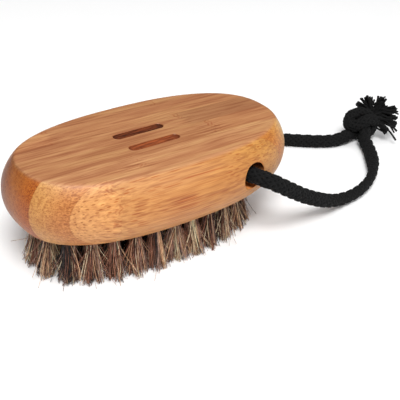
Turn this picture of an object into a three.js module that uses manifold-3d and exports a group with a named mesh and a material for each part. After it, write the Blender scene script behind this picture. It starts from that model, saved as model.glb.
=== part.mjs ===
// Beard brush: a laminated bamboo block, natural bristle tufts and a knotted braided cord.
// Millimetres. +X runs along the block towards the cord end, +Y to the back, +Z up.
// The origin is on the surface that the bristle tips stand on, under the middle of the block.
import * as THREE from 'three';
import { mergeVertices } from 'three/addons/utils/BufferGeometryUtils.js';
import Module from 'manifold-3d';

const wasm = await Module();
wasm.setup();

// Block
const BLOCK_LENGTH = 100;
const BLOCK_WIDTH = 54.6;
const BLOCK_THICKNESS = 21.2;
const BRISTLE_FREE_LENGTH = 14.1;
const PLAN_EXPONENT = 2.41;
const TOP_INSET = 4.1;
const BOTTOM_INSET = 4.7;
const BARREL_EXPONENT = 2.1;
const BLOCK_SIDES = 72;
const BLOCK_LEVELS = 8;
const BOTTOM_Z = BRISTLE_FREE_LENGTH;
const TOP_Z = BOTTOM_Z + BLOCK_THICKNESS;

// The block is made of bamboo strips, glued face to face across its width.
// The glue planes are turned a little about Z from the block's long axis.
const LAMELLA_COUNT = 6;
const LAMELLA_THICKNESS = 9.4;
const MIDDLE_GLUE_Y = -0.7;
const BOARD_TURN = THREE.MathUtils.degToRad(-1.6);

// Cross bore for the cord
const BORE_X = 23;
const BORE_Z = 24.7;
const BORE_RADIUS = 4.5;
const BORE_SIDES = 18;
const BORE_LIP = 0.5;

// Two burnt finger grooves in the top face
const GROOVE_RADIUS = 1.7;
const GROOVE_STRAIGHT = 15.2;
const GROOVE_PITCH = 9.1;
const GROOVE_CENTRE = [-2.7, -1.05];
const GROOVE_DEPTH = 0.7;
const GROOVE_CAP_STEPS = 6;

// Bristle tufts, pressed into blind holes on three rings around one centre
const TUFT_FIELD_CENTRE = [-4, -1];
const TUFT_HOLE_RADIUS = 2.1;
const TUFT_HOLE_DEPTH = 5.3;
const TUFT_HOLE_SIDES = 8;
const TUFT_CLEARANCE = 0.3;
const TUFT_SIDES = 8;
const TUFT_TIP_ROUND = 0.6;
const TUFT_RINGS = [
  { name: 'outer', count: 26, halfLength: 36.6, halfWidth: 17.6, lean: 1.8, tipRadius: 3.1 },
  { name: 'inner', count: 17, halfLength: 28.6, halfWidth: 9.6, lean: 0.8, tipRadius: 3.1 },
  { name: 'middle', count: 6, halfLength: 20.5, halfWidth: 0, lean: 0, tipRadius: 3.1 },
];

// Hanging cord: one braided length through the bore, its two ends tied together.
// Each strand starts half way through the bore and ends at the knot.
const CORD_DIAMETER = 5;
const CORD_SIDES = 10;
const CORD_STEP = 2 * CORD_DIAMETER;
const CORD_JOINT_GAP = 0.15;
const NEAR_ROUTE = [
  [22.4, -CORD_JOINT_GAP, 24.0], [22.0, -10, 24.1], [21.7, -18.6, 24.4], [23.0, -24.8, 24.7],
  [26.3, -28.9, 23.5], [31.3, -30.3, 20.5], [36.9, -29.8, 16.8], [42.4, -29.2, 13.3],
  [47.8, -28.5, 10.3], [53.6, -27.6, 7.3], [59.8, -26.5, 4.7], [65.8, -25.6, 3.1],
  [71.6, -25.0, 2.6], [77.6, -23.7, 2.6], [83.8, -21.3, 2.6], [90.0, -17.7, 2.6],
  [95.7, -12.8, 2.6], [101.2, -6.7, 2.6], [105.5, -0.8, 2.8], [108.2, 3.9, 3.4],
];
const FAR_ROUTE = [
  [22.4, CORD_JOINT_GAP, 24.0], [22.0, 10, 24.1], [21.7, 18.6, 24.4], [23.0, 24.8, 24.7],
  [26.3, 28.9, 23.4], [31.3, 31.0, 20.4], [37.4, 32.2, 16.6], [43.6, 33.0, 13.0],
  [50.0, 33.2, 9.6], [56.4, 32.8, 6.6], [62.6, 31.6, 4.2], [68.4, 29.6, 3.0],
  [73.6, 27.2, 2.6], [78.4, 24.4, 2.6], [82.2, 21.7, 2.6], [85.6, 18.8, 2.6],
  [89.1, 16.0, 2.6], [92.9, 13.4, 2.6], [97.2, 11.2, 2.6], [101.4, 10.2, 3.0], [104.4, 10.1, 3.6],
];
const KNOT_CENTRE = [112.4, 10.6, 6.9];
const KNOT_RADII = [7.2, 7.2, 6.7];
const KNOT_SIDES = 16;
const KNOT_LEVELS = 10;
const TAIL_ROOT_RADIUS = 2.6;
const TAIL_ROOT_DISTANCE = 7.4;
const TAIL_SIDES = 12;
const TAILS = [
  { name: 'cord_tail_near', azimuth: -5, elevation: 42, reach: 15.5, tipRadius: 6.4 },
  { name: 'cord_tail_far', azimuth: -40, elevation: 0, reach: 15.8, tipRadius: 4.6 },
];

const brush = new THREE.Group();

// A closed geometry as a manifold solid: only position is kept, so that shared vertices merge.
function toSolid(geometry, turn = 0) {
  const bare = geometry.clone().rotateZ(turn);
  bare.deleteAttribute('normal');
  bare.deleteAttribute('uv');
  const merged = mergeVertices(bare, 1e-4);
  return new wasm.Manifold(new wasm.Mesh({
    numProp: 3,
    vertProperties: new Float32Array(merged.attributes.position.array),
    triVerts: new Uint32Array(merged.index.array),
  }));
}

function toGeometry(solid) {
  const mesh = solid.getMesh();
  const geometry = new THREE.BufferGeometry();
  geometry.setAttribute('position', new THREE.BufferAttribute(mesh.vertProperties, 3));
  geometry.setIndex(new THREE.BufferAttribute(mesh.triVerts, 1));
  geometry.computeVertexNormals();
  return geometry;
}

function addPart(name, geometry, material) {
  const mesh = new THREE.Mesh(geometry, material);
  mesh.name = name;
  brush.add(mesh);
  return mesh;
}

function standardMaterial(name, color, roughness, metalness = 0) {
  return new THREE.MeshStandardMaterial({ name, color, roughness, metalness });
}

function signedPower(value, power) {
  return Math.sign(value) * Math.abs(value) ** power;
}

// A point of a superellipse ring, the plan shape of the block and of the rows of tufts.
function ringPoint(angle, halfLength, halfWidth) {
  return [
    halfLength * signedPower(Math.cos(angle), 2 / PLAN_EXPONENT),
    halfWidth * signedPower(Math.sin(angle), 2 / PLAN_EXPONENT),
  ];
}

// How far the barrel-shaped side stands in from the widest outline, at a height from 0 to 1.
function sideInset(height) {
  const fromMiddle = 2 * height - 1;
  const inset = fromMiddle > 0 ? TOP_INSET : BOTTOM_INSET;
  return inset * Math.abs(fromMiddle) ** BARREL_EXPONENT;
}

// The whole block before drilling: a unit cylinder whose rings are moved out to the block's plan.
// Block and cutters are turned into the board's own axes, where each glue plane has one Y.
function blockSolid() {
  const geometry = new THREE.CylinderGeometry(1, 1, 1, BLOCK_SIDES, BLOCK_LEVELS);
  geometry.rotateX(Math.PI / 2);
  const position = geometry.attributes.position;
  for (let i = 0; i < position.count; i += 1) {
    const height = position.getZ(i) + 0.5;
    const inset = sideInset(height);
    const angle = Math.atan2(position.getY(i), position.getX(i));
    const radius = Math.hypot(position.getX(i), position.getY(i));
    const [x, y] = ringPoint(angle, BLOCK_LENGTH / 2 - inset, BLOCK_WIDTH / 2 - inset);
    position.setXYZ(i, radius * x, radius * y, BOTTOM_Z + height * BLOCK_THICKNESS);
  }
  return toSolid(geometry, -BOARD_TURN);
}

// The half width of the block at mid height, which is where the bore breaks out.
function halfWidthAt(x) {
  const along = Math.abs(2 * x / BLOCK_LENGTH) ** PLAN_EXPONENT;
  return BLOCK_WIDTH / 2 * (1 - along) ** (1 / PLAN_EXPONENT);
}

function boreSolid() {
  const drill = new THREE.CylinderGeometry(BORE_RADIUS, BORE_RADIUS, BLOCK_WIDTH, BORE_SIDES);
  let bore = toSolid(drill.translate(BORE_X, 0, BORE_Z), -BOARD_TURN);
  const lipHeight = 2 * BORE_LIP;
  for (const side of [-1, 1]) {
    const outer = BORE_RADIUS + lipHeight;
    const lip = new THREE.CylinderGeometry(
      side > 0 ? outer : BORE_RADIUS,
      side > 0 ? BORE_RADIUS : outer,
      lipHeight,
      BORE_SIDES,
    );
    lip.translate(BORE_X, side * (halfWidthAt(BORE_X) - BORE_LIP + lipHeight / 2), BORE_Z);
    bore = bore.add(toSolid(lip, -BOARD_TURN));
  }
  return bore;
}

function grooveSolid(side) {
  const outline = new THREE.Shape();
  const half = GROOVE_STRAIGHT / 2;
  outline.absarc(half, 0, GROOVE_RADIUS, -Math.PI / 2, Math.PI / 2, false);
  outline.absarc(-half, 0, GROOVE_RADIUS, Math.PI / 2, 3 * Math.PI / 2, false);
  outline.closePath();
  const cutter = new THREE.ExtrudeGeometry(outline, {
    depth: 2 * GROOVE_DEPTH,
    bevelEnabled: false,
    curveSegments: GROOVE_CAP_STEPS,
  });
  const [x, y] = GROOVE_CENTRE;
  cutter.translate(x, y + side * GROOVE_PITCH / 2, TOP_Z - GROOVE_DEPTH);
  return toSolid(cutter, -BOARD_TURN);
}

// Every tuft: its name, the centre of its hole, and how far and which way its tips lean out.
function tuftPlaces() {
  const places = [];
  for (const ring of TUFT_RINGS) {
    const curve = [];
    const fine = 720;
    for (let i = 0; i <= fine; i += 1) {
      const [x, y] = ringPoint(2 * Math.PI * i / fine, ring.halfLength, ring.halfWidth);
      curve.push(new THREE.Vector2(x, y));
    }
    for (let i = 0; i < ring.count; i += 1) {
      let place = pointAlong(curve, (i + 0.5) / ring.count);
      if (ring.halfWidth === 0) {
        place = new THREE.Vector2(ring.halfLength * (2 * i / (ring.count - 1) - 1), 0);
      }
      const outward = new THREE.Vector2(
        place.x / ring.halfLength ** 2,
        ring.halfWidth === 0 ? 0 : place.y / ring.halfWidth ** 2,
      ).normalize();
      const name = `tuft_${ring.name}_${String(i + 1).padStart(2, '0')}`;
      const [centreX, centreY] = TUFT_FIELD_CENTRE;
      places.push({ name, ring, x: place.x + centreX, y: place.y + centreY, outward });
    }
  }
  return places;
}

function pointAlong(curve, share) {
  const lengths = [0];
  for (let i = 1; i < curve.length; i += 1) {
    lengths.push(lengths[i - 1] + curve[i].distanceTo(curve[i - 1]));
  }
  const target = share * lengths[lengths.length - 1];
  const next = lengths.findIndex((length) => length >= target);
  const part = (target - lengths[next - 1]) / (lengths[next] - lengths[next - 1]);
  return curve[next - 1].clone().lerp(curve[next], part);
}

function tuftHoleSolid(place) {
  const depth = 2 * TUFT_HOLE_DEPTH;
  const drill = new THREE.CylinderGeometry(
    TUFT_HOLE_RADIUS, TUFT_HOLE_RADIUS, depth, TUFT_HOLE_SIDES,
  );
  drill.rotateX(Math.PI / 2);
  return toSolid(drill.translate(place.x, place.y, BOTTOM_Z), -BOARD_TURN);
}

// One tuft: straight inside its hole, flared below the block, with a flat trimmed end.
function tuftGeometry(place) {
  const rootRadius = TUFT_HOLE_RADIUS - TUFT_CLEARANCE;
  const rootZ = BOTTOM_Z + TUFT_HOLE_DEPTH - TUFT_CLEARANCE;
  const { tipRadius, lean } = place.ring;
  const profile = [
    new THREE.Vector2(0, 0),
    new THREE.Vector2(tipRadius - TUFT_TIP_ROUND, 0),
    new THREE.Vector2(tipRadius, TUFT_TIP_ROUND),
    new THREE.Vector2(rootRadius, BOTTOM_Z),
    new THREE.Vector2(rootRadius, rootZ),
    new THREE.Vector2(0, rootZ),
  ];
  const geometry = new THREE.LatheGeometry(profile, TUFT_SIDES);
  geometry.rotateX(Math.PI / 2);
  const position = geometry.attributes.position;
  for (let i = 0; i < position.count; i += 1) {
    const z = position.getZ(i);
    const shift = lean * Math.max(0, 1 - z / BOTTOM_Z);
    position.setX(i, position.getX(i) + place.x + shift * place.outward.x);
    position.setY(i, position.getY(i) + place.y + shift * place.outward.y);
  }
  return geometry;
}

function addBlock(places) {
  const light = standardMaterial('bamboo_light', 0xd9a566, 0.45);
  const mid = standardMaterial('bamboo_mid', 0xcf9557, 0.45);
  const dark = standardMaterial('bamboo_dark', 0xbd7f49, 0.45);
  const materials = [light, mid, dark, dark, mid, light];
  let block = blockSolid().subtract(boreSolid());
  block = block.subtract(grooveSolid(-1)).subtract(grooveSolid(1));
  for (const place of places) {
    block = block.subtract(tuftHoleSolid(place));
  }
  const beyond = BLOCK_WIDTH;
  const firstGlueY = MIDDLE_GLUE_Y - (LAMELLA_COUNT / 2 - 1) * LAMELLA_THICKNESS;
  for (let i = 0; i < LAMELLA_COUNT; i += 1) {
    const front = i === 0 ? -beyond : firstGlueY + (i - 1) * LAMELLA_THICKNESS;
    const back = i === LAMELLA_COUNT - 1 ? beyond : firstGlueY + i * LAMELLA_THICKNESS;
    const slab = new THREE.BoxGeometry(2 * BLOCK_LENGTH, back - front, 4 * BLOCK_THICKNESS);
    const strip = block.intersect(toSolid(slab.translate(0, (front + back) / 2, TOP_Z)));
    const mesh = addPart(`lamella_${i + 1}`, toGeometry(strip), materials[i]);
    mesh.rotation.z = BOARD_TURN;
  }
}

function addTufts(places) {
  const material = standardMaterial('bristle', 0x7a6250, 0.85);
  for (const place of places) {
    addPart(place.name, toGeometry(toSolid(tuftGeometry(place))), material);
  }
}

function addStrand(name, route, material) {
  const path = new THREE.CatmullRomCurve3(route.map((point) => new THREE.Vector3(...point)));
  const section = new THREE.Shape();
  for (let i = 0; i < CORD_SIDES; i += 1) {
    const angle = 2 * Math.PI * i / CORD_SIDES;
    const x = CORD_DIAMETER / 2 * Math.cos(angle);
    const y = CORD_DIAMETER / 2 * Math.sin(angle);
    if (i === 0) {
      section.moveTo(x, y);
    } else {
      section.lineTo(x, y);
    }
  }
  section.closePath();
  const steps = Math.round(path.getLength() / CORD_STEP);
  const geometry = new THREE.ExtrudeGeometry(section, { steps, extrudePath: path });
  addPart(name, geometry, material);
}

function addKnot(material) {
  const geometry = new THREE.SphereGeometry(1, KNOT_SIDES, KNOT_LEVELS);
  geometry.rotateX(Math.PI / 2);
  geometry.scale(...KNOT_RADII);
  const knot = addPart('cord_knot', geometry, material);
  knot.position.set(...KNOT_CENTRE);
}

// A frayed cord end: a trumpet that opens away from the knot.
function addTail(tail, material) {
  const length = tail.reach - TAIL_ROOT_DISTANCE;
  const profile = [
    new THREE.Vector2(0, 0),
    new THREE.Vector2(TAIL_ROOT_RADIUS, 0),
    new THREE.Vector2(0.72 * tail.tipRadius, 0.45 * length),
    new THREE.Vector2(tail.tipRadius, 0.85 * length),
    new THREE.Vector2(0.6 * tail.tipRadius, length),
    new THREE.Vector2(0, length),
  ];
  const mesh = addPart(tail.name, new THREE.LatheGeometry(profile, TAIL_SIDES), material);
  const azimuth = THREE.MathUtils.degToRad(tail.azimuth);
  const elevation = THREE.MathUtils.degToRad(tail.elevation);
  const axis = new THREE.Vector3(
    Math.cos(elevation) * Math.cos(azimuth),
    Math.cos(elevation) * Math.sin(azimuth),
    Math.sin(elevation),
  );
  mesh.quaternion.setFromUnitVectors(new THREE.Vector3(0, 1, 0), axis);
  mesh.position.set(...KNOT_CENTRE).addScaledVector(axis, TAIL_ROOT_DISTANCE);
}

const places = tuftPlaces();
addBlock(places);
addTufts(places);
const cordMaterial = standardMaterial('cord', 0x16161a, 0.9);
addStrand('cord_near', NEAR_ROUTE, cordMaterial);
addStrand('cord_far', FAR_ROUTE, cordMaterial);
addKnot(cordMaterial);
for (const tail of TAILS) {
  addTail(tail, cordMaterial);
}

export default brush;
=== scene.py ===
# Beard brush: a laminated bamboo block, natural bristle tufts and a knotted braided cord.
# Metres. +X runs along the block towards the cord end, +Y to the back, +Z up.
import math

import bmesh
import bpy
import numpy as np
from mathutils import Matrix, Vector


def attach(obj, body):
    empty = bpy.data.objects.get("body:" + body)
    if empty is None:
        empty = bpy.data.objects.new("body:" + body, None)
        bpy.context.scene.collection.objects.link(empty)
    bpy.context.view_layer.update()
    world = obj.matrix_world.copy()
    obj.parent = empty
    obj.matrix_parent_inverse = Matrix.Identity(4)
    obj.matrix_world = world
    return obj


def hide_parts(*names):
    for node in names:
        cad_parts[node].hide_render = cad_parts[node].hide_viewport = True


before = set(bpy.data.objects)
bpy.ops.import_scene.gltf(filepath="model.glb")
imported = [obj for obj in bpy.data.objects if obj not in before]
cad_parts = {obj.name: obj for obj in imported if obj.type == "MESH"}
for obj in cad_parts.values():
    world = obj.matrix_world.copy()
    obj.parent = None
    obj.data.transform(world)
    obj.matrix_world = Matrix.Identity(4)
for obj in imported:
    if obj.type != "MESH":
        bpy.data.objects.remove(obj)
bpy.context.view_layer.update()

scene = bpy.context.scene
MM = 0.001

# Camera
CAMERA_AZIMUTH = math.radians(38.883)
CAMERA_ELEVATION = math.radians(30.025)
CAMERA_ROLL = math.radians(3.065)
CAMERA_DISTANCE = 0.3017
CAMERA_TARGET = Vector((0.01924, -0.00248, 0.00591))
CAMERA_LENS = 78.7
CAMERA_SENSOR = 36
CAMERA_NEAREST = 0.01

# Block
BLOCK_LENGTH = 0.100
BLOCK_WIDTH = 0.0546
BLOCK_BOTTOM = 0.0141
BLOCK_TOP = 0.0353
PLAN_EXPONENT = 2.41
TOP_INSET = 0.0041
BOTTOM_INSET = 0.0047
BARREL_EXPONENT = 2.1
ARRIS = 0.0009
ARRIS_STEPS = 6
BLOCK_SIDES = 480
BLOCK_LEVELS = 40
SMOOTH_ANGLE = math.radians(30)
ALL_SMOOTH = math.pi

# Bamboo strips
LAMELLA_SLOTS = ["bamboo_light", "bamboo_mid", "bamboo_dark", "bamboo_dark", "bamboo_mid", "bamboo_light"]
LAMELLA_COUNT = len(LAMELLA_SLOTS)
LAMELLA_THICKNESS = 0.0094
MIDDLE_GLUE_Y = -0.0007
BOARD_TURN = math.radians(-1.6)

# Cross bore
BORE_X = 0.023
BORE_Z = 0.0247
BORE_RADIUS = 0.0045
BORE_LIP = 0.0006
BORE_LIP_STEPS = 15
BORE_SIDES = 96
# How far in along Y the bore's painted shade is full; it begins at half that depth.
BORE_SHADE_DEPTH = 0.0066

# Burnt grooves
GROOVE_CENTRE = (-0.0027, -0.00105)
GROOVE_PITCH = 0.0091
GROOVE_HALF = 0.0076
GROOVE_RADIUS = 0.0017
GROOVE_DEPTH = 0.0007
GROOVE_SOFT = 0.0003
GROOVE_CAP_STEPS = 16

# Tufts
HOLE_RADIUS = 0.0021
HOLE_DEPTH = 0.0053
HOLE_SIDES = 32
HOLE_STRAIGHT = 0.85
HOLE_TIP = 0.6
END_TOLERANCE = 0.0001
HAIRS_PER_TUFT = 260
HAIR_RADIUS = 0.000125
HAIR_RINGS = 8
HAIR_SIDES = 3
HAIR_VARIES = (0.75, 1.25)
HAIR_THINS_TO = 0.6
ROOT_SPREAD = 0.0016
TIP_SPREAD = 0.0032
TIP_SCATTER = 0.0007
WILD_SHARE = 0.02
WILD_SCATTER = 0.0024
SPLAY_POWER = 1.4
TRIM_RAGGED = 0.0026
TRIM_LEAST = 0.02
TRIM_POWER = 2.5

# Cord
BRAID_STRANDS = 16
BRAID_PITCH = 0.017
STRAND_RADIUS = 0.00058
STRAND_SIDES = 6
BRAID_WAVE = 0.0002
RING_SPACING = 0.0005
CURVE_STEPS = 24
NEAR_ROUTE = [
    (22.4, -0.15, 24.0), (22.0, -10, 24.1), (21.7, -18.6, 24.4), (23.0, -24.8, 24.7),
    (26.3, -28.9, 23.5), (31.3, -30.3, 20.5), (36.9, -29.8, 16.8), (42.4, -29.2, 13.3),
    (47.8, -28.5, 10.3), (53.6, -27.6, 7.3), (59.8, -26.5, 4.7), (65.8, -25.6, 3.1),
    (71.6, -25.0, 2.6), (77.6, -23.7, 2.6), (83.8, -21.3, 2.6), (90.0, -17.7, 2.6),
    (95.7, -12.8, 2.6), (101.2, -6.7, 2.6), (105.5, -0.8, 2.8), (108.2, 3.9, 3.4),
]
FAR_ROUTE = [
    (22.4, 0.15, 24.0), (22.0, 10, 24.1), (21.7, 18.6, 24.4), (23.0, 24.8, 24.7),
    (26.3, 28.9, 23.4), (31.3, 31.0, 20.4), (37.4, 32.2, 16.6), (43.6, 33.0, 13.0),
    (50.0, 33.2, 9.6), (56.4, 32.8, 6.6), (62.6, 31.6, 4.2), (68.4, 29.6, 3.0),
    (73.6, 27.2, 2.6), (78.4, 24.4, 2.6), (82.2, 21.7, 2.6), (85.6, 18.8, 2.6),
    (89.1, 16.0, 2.6), (92.9, 13.4, 2.6), (97.2, 11.2, 2.6), (101.4, 10.2, 3.0),
    (104.4, 10.1, 3.6),
]
# How wide the soft braid is along X, in millimetres: it swells at the bore and thins at the bend.
NEAR_WIDTH = [
    (24, 5.2), (32, 5.2), (54, 5.0), (62, 4.5), (72, 4.0), (88, 3.4), (93, 3.8), (98, 5.1), (106, 5.0),
]
FAR_WIDTH = [(24, 5.7), (32, 5.2), (70, 4.8), (105, 4.9)]
KNOT_CENTRE = Vector((0.1124, 0.0106, 0.0069))
KNOT_CORD_DIAMETER = 0.0048
# The knot's two strands, in millimetres from its centre: right, up and towards the front as it
# lies. Each runs from its cord, round the other strand, to a frayed end.
KNOT_RIGHT = Vector((0.794, -0.606, 0.046))
KNOT_UP = Vector((0.272, 0.423, 0.865))
KNOT_NEAR = [
    (0.6, -7.4, 5.2), (1.0, -4.6, 4.2), (1.2, -2.0, 2.4), (1.2, 0.6, -0.4), (0.4, 3.0, -2.4),
    (-2.2, 2.6, -3.6), (-3.0, -0.6, -3.8), (-0.6, -3.0, -2.6), (2.8, -2.2, -1.6), (4.4, 0.4, -1.6),
    (4.6, 2.4, -2.0),
]
KNOT_FAR = [
    (-6.8, -5.6, 3.1), (-3.4, -4.2, 0.8), (0.4, -3.8, -0.8), (3.6, -3.0, 0.0), (4.8, 0.2, 0.2),
    (2.6, 3.2, 1.0), (-1.4, 4.0, 1.6), (-4.6, 2.0, 2.0), (-4.9, -1.2, 2.8), (-2.2, -1.4, 4.4),
    (1.4, 0.4, 4.8), (4.2, 1.0, 3.0), (5.6, 0.6, 1.0),
]
# Each frayed end, in the same axes: its node, where it leaves the knot, and its clumps of yarns as
# a direction in degrees up from the right, how far it reaches from the knot's centre in
# millimetres, and how many yarns it has.
TAILS = [
    ("cord_tail_near", (2.6, 2.6, -1.4), [
        (97, 9.0, 7), (84, 10.5, 9), (72, 11.9, 13), (63, 12.0, 6), (53, 14.3, 18), (45, 14.3, 12),
        (38, 12.4, 8), (30, 13.8, 14), (19, 15.9, 15), (14, 12.6, 8),
    ]),
    ("cord_tail_far", (4.6, 0.0, 0.8), [
        (8, 15.8, 14), (3, 13.0, 10), (-3, 15.3, 12), (-11, 12.5, 8), (-18, 12.0, 14),
        (-9.5, 15.6, 2), (-19, 16.2, 2),
    ]),
]
TAIL_RINGS = 14
TAIL_ROOT = 0.0016
CLUMP_SPREAD = 3.4
CLUMP_DEPTH = 1.9
YARN_DEPTH = 0.9
YARN_RADIUS = 0.00042
YARN_WIDTHS = (0.8, 1.2)
YARN_LENGTHS = (0.84, 1.0)
YARN_BEND = 0.45
TAIL_CURL = 0.0005
TAIL_CURL_TURNS = (3, 7)
TAIL_FORWARD = math.radians(38)

# Light: name, place, size across and watts of each soft panel, then the room beyond them, which
# looks pale but adds little light of its own.
PANELS = [
    ("key", (-0.30, -0.44, 0.82), 0.38, 8.2),
    ("fill", (0.45, -0.85, 0.42), 0.6, 3.4),
]
ROOM_COLOUR = (1, 1, 1, 1)
ROOM_LIGHT = 0.03
ROOM_SEEN = 0.92
OVERHEAD_STRENGTH = 1.5
OVERHEAD_SPREAD = math.radians(100)
FLOOR_HALF = 1.0
FLOOR_CLOUDS = 0.01
FLOOR_DARKER = (0.95, 0.95, 0.95, 1)
FLOOR_PALER = (0.97, 0.97, 0.97, 1)
LIGHT_AIM = (0, 0, 0.02)

random = np.random.default_rng(7)


# ---------------------------------------------------------------- camera

def add_camera():
    forward = Vector((
        math.sin(CAMERA_AZIMUTH) * math.cos(CAMERA_ELEVATION),
        math.cos(CAMERA_AZIMUTH) * math.cos(CAMERA_ELEVATION),
        -math.sin(CAMERA_ELEVATION),
    ))
    level = Vector((math.cos(CAMERA_AZIMUTH), -math.sin(CAMERA_AZIMUTH), 0))
    upright = level.cross(forward)
    right = math.cos(CAMERA_ROLL) * level + math.sin(CAMERA_ROLL) * upright
    up = math.cos(CAMERA_ROLL) * upright - math.sin(CAMERA_ROLL) * level
    data = bpy.data.cameras.new("camera")
    data.lens = CAMERA_LENS
    data.sensor_width = CAMERA_SENSOR
    data.clip_start = CAMERA_NEAREST
    camera = bpy.data.objects.new("camera", data)
    scene.collection.objects.link(camera)
    turn = Matrix((right, up, -forward)).transposed().to_4x4()
    camera.matrix_world = Matrix.Translation(CAMERA_TARGET - CAMERA_DISTANCE * forward) @ turn
    scene.camera = camera


# ---------------------------------------------------------------- meshes

def mesh_object(name, vertices, faces, material=None):
    mesh = bpy.data.meshes.new(name)
    mesh.from_pydata(np.asarray(vertices).tolist(), [], faces)
    mesh.update()
    piece = bpy.data.objects.new(name, mesh)
    scene.collection.objects.link(piece)
    if material is not None:
        mesh.materials.append(material)
    return piece


def keep_piece(piece, slot, *nodes):
    """Every piece rides on the one body and stands for its CAD nodes. Its slot is not used."""
    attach(piece, "root")
    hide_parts(*nodes)
    return piece


def shade(piece, angle=SMOOTH_ANGLE):
    for polygon in piece.data.polygons:
        polygon.use_smooth = True
    piece.data.set_sharp_from_angle(angle=angle)


def gather(shapes):
    """The vertices and faces of many shapes as those of one mesh."""
    vertices = []
    faces = []
    count = 0
    for more, more_faces in shapes:
        vertices.append(more)
        faces += [tuple(count + corner for corner in face) for face in more_faces]
        count += len(more)
    return np.concatenate(vertices), faces


def tube_faces(rings, sides):
    """Quads between neighbouring rings, and one flat cap at each end."""
    faces = []
    for ring in range(rings - 1):
        base = ring * sides
        for side in range(sides):
            after = (side + 1) % sides
            faces.append((base + side, base + after, base + sides + after, base + sides + side))
    faces.append(tuple(reversed(range(sides))))
    last = (rings - 1) * sides
    faces.append(tuple(last + side for side in range(sides)))
    return faces


def smooth_path(points, spacing):
    """A centripetal Catmull-Rom curve through the points, in even steps."""
    points = [np.asarray(point, float) for point in points]
    first = 2 * points[0] - points[1]
    last = 2 * points[-1] - points[-2]
    chain = [first, *points, last]
    samples = []
    for a, b, c, d in zip(chain, chain[1:], chain[2:], chain[3:]):
        knots = [0.0]
        for p, q in ((a, b), (b, c), (c, d)):
            knots.append(knots[-1] + math.sqrt(np.linalg.norm(q - p)))
        for t in np.linspace(knots[1], knots[2], CURVE_STEPS, endpoint=False):
            ab = lerp_at(a, b, knots[0], knots[1], t)
            bc = lerp_at(b, c, knots[1], knots[2], t)
            cd = lerp_at(c, d, knots[2], knots[3], t)
            abc = lerp_at(ab, bc, knots[0], knots[2], t)
            bcd = lerp_at(bc, cd, knots[1], knots[3], t)
            samples.append(lerp_at(abc, bcd, knots[1], knots[2], t))
    samples.append(points[-1])
    return even_steps(np.array(samples), spacing)


def lerp_at(a, b, start, end, t):
    return a + (b - a) * (t - start) / (end - start)


def even_steps(samples, spacing):
    lengths = np.r_[0, np.cumsum(np.linalg.norm(np.diff(samples, axis=0), axis=1))]
    count = max(4, int(round(lengths[-1] / spacing)) + 1)
    targets = np.linspace(0, lengths[-1], count)
    return np.column_stack([np.interp(targets, lengths, samples[:, k]) for k in range(3)])


def path_frames(path):
    """Two unit vectors square to the path at each point, carried along it without twisting."""
    tangents = np.gradient(path, axis=0)
    tangents /= np.linalg.norm(tangents, axis=1, keepdims=True)
    helper = np.array((0.0, 0.0, 1.0))
    if abs(tangents[0] @ helper) > 0.9:
        helper = np.array((1.0, 0.0, 0.0))
    side = np.cross(tangents[0], helper)
    sides = []
    for tangent in tangents:
        side = side - (side @ tangent) * tangent
        side /= np.linalg.norm(side)
        sides.append(side)
    sides = np.array(sides)
    return sides, np.cross(tangents, sides)


def tube(path, radii, sides):
    """Vertices and faces of a closed tube with a radius for each path point."""
    u, v = path_frames(path)
    angles = np.linspace(0, 2 * math.pi, sides, endpoint=False)
    radii = np.broadcast_to(radii, len(path))
    ring = (u[:, None] * np.cos(angles)[None, :, None] + v[:, None] * np.sin(angles)[None, :, None])
    vertices = path[:, None] + ring * radii[:, None, None]
    return vertices.reshape(-1, 3), tube_faces(len(path), sides)


# ---------------------------------------------------------------- shader nodes

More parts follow.
